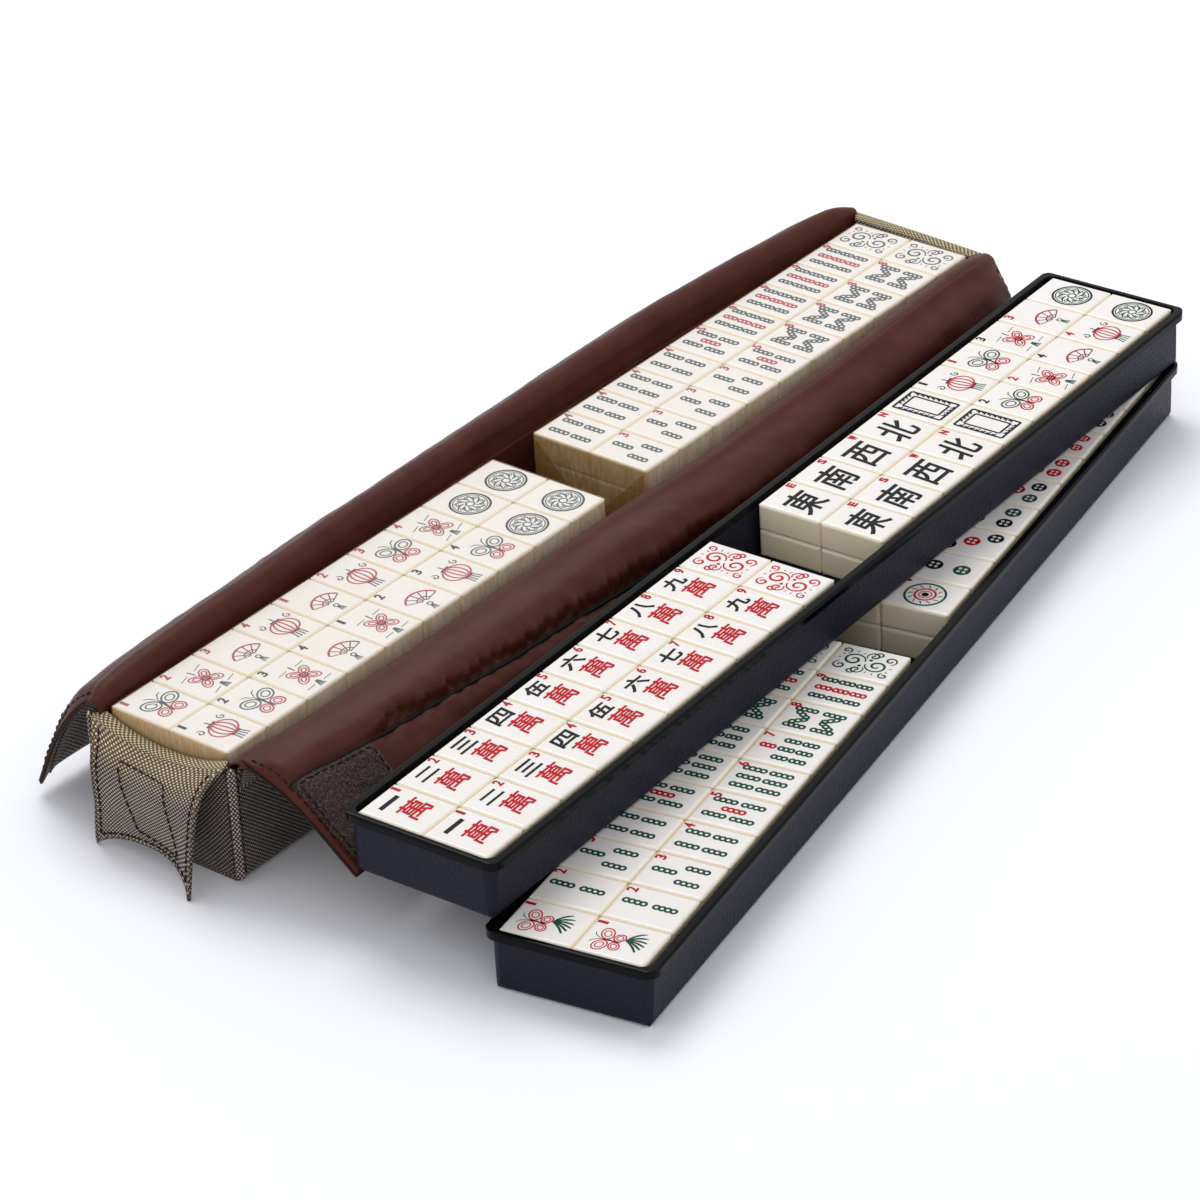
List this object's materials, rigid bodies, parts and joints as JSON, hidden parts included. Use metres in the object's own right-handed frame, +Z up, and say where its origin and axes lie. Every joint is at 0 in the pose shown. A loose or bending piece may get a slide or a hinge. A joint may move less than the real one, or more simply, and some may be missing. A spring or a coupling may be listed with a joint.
{
  "type": "mahjong case",
  "caption": "Soft rectangular carrying case with four fold-over flaps, open, with wrapped blocks of tiles inside and two moulded trays of tiles stacked crosswise beside it.",
  "frame": {"origin": "centre of the case's base, on the surface that it stands on", "axes": "+Z up, +Y along the case from its near end to its far end, +X towards the trays"},
  "size_m": [0.3015, 0.5236, 0.0605],
  "materials": {
    "weave_dark": "woven polyester, dark brown and beige basket weave",
    "weave_beige": "woven polyester, beige basket weave",
    "satin": "soft satin lining, padded",
    "board": "stiffener board",
    "foam": "thin padding foam",
    "loop": "hook and loop tape",
    "film": "clear shrink film with an amber cast",
    "tile": "polished cast resin",
    "tray": "black moulded plastic, fine leather grain outside, glossy lip"
  },
  "bodies": {
    "case": {"base_fabric": "weave_dark", "left_wall_fabric": "weave_dark", "right_wall_fabric": "weave_dark", "near_wall_fabric": "weave_beige", "far_wall_fabric": "weave_beige", "base_board": "board", "left_board": "board", "right_board": "board", "near_board": "board", "far_board": "board", "base_lining": "satin", "left_lining": "satin", "right_lining": "satin", "near_lining": "satin", "far_lining": "satin", "corner_bindings": "weave_beige", "left_roll": "satin", "right_roll": "satin"},
    "left_flap": {"left_flap_lining": "satin", "left_flap_foam": "foam", "left_flap_fabric": "weave_dark", "left_flap_loops": "loop", "left_flap_hooks": "loop"},
    "right_flap": {"right_flap_lining": "satin", "right_flap_foam": "foam", "right_flap_fabric": "weave_dark", "right_flap_loops": "loop"},
    "near_end_flap": {"near_flap_inner": "weave_beige", "near_flap_outer": "weave_dark", "near_flap_patch": "loop"},
    "far_end_flap": {"far_flap_inner": "weave_beige", "far_flap_outer": "weave_dark", "far_flap_patch": "loop"},
    "near_block": {"near_block_film": "film", "near_block_layer_1": "tile", "near_block_layer_2": "tile", "near_block_layer_3": "tile", "near_block_layer_4": "tile"},
    "far_block": {"far_block_film": "film", "far_block_layer_1": "tile", "far_block_layer_2": "tile", "far_block_layer_3": "tile", "far_block_layer_4": "tile"},
    "lower_tray": {"lower_tray": "tray", "lower_near_tiles_low": "tile", "lower_near_tiles_top": "tile", "lower_far_tiles_low": "tile", "lower_far_tiles_top": "tile"},
    "upper_tray": {"upper_tray": "tray"},
    "upper_near_tiles": {"upper_near_tiles_low": "tile", "upper_near_tiles_top": "tile"},
    "upper_far_tiles": {"upper_far_tiles_low": "tile", "upper_far_tiles_top": "tile"}
  },
  "joints": [
    {"name": "left_flap_fold", "type": "hinge", "parent": "case", "child": "left_flap", "pos_m": [-0.0366, 0, 0.0584], "axis": [0, -1, 0], "range_deg": [-228, 0]},
    {"name": "right_flap_fold", "type": "hinge", "parent": "case", "child": "right_flap", "pos_m": [0.0366, 0, 0.0584], "axis": [0, 1, 0], "range_deg": [-214, 0], "deforming": ["right_flap_lining", "right_flap_foam", "right_flap_fabric", "right_flap_loops"]},
    {"name": "near_end_flap_fold", "type": "hinge", "parent": "case", "child": "near_end_flap", "pos_m": [0, -0.24844, 0.0553], "axis": [1, 0, 0], "range_deg": [-257, 0]},
    {"name": "far_end_flap_fold", "type": "hinge", "parent": "case", "child": "far_end_flap", "pos_m": [0, 0.24844, 0.0553], "axis": [-1, 0, 0], "range_deg": [-257, 0]},
    {"name": "near_block_lift", "type": "slide", "parent": "case", "child": "near_block", "axis": [0, 0, 1], "range_m": [0, 0.065]},
    {"name": "far_block_lift", "type": "slide", "parent": "case", "child": "far_block", "axis": [0, 0, 1], "range_m": [0, 0.065]},
    {"name": "lower_tray_lift", "type": "slide", "parent": "case", "child": "lower_tray", "axis": [0, 0, 1], "range_m": [0, 0.06]},
    {"name": "upper_tray_lift", "type": "slide", "parent": "lower_tray", "child": "upper_tray", "axis": [0, 0, 1], "range_m": [0, 0.06]},
    {"name": "upper_near_tiles_lift", "type": "slide", "parent": "upper_tray", "child": "upper_near_tiles", "axis": [0, 0, 1], "range_m": [0, 0.035]},
    {"name": "upper_far_tiles_lift", "type": "slide", "parent": "upper_tray", "child": "upper_far_tiles", "axis": [0, 0, 1], "range_m": [0, 0.035]}
  ]
}
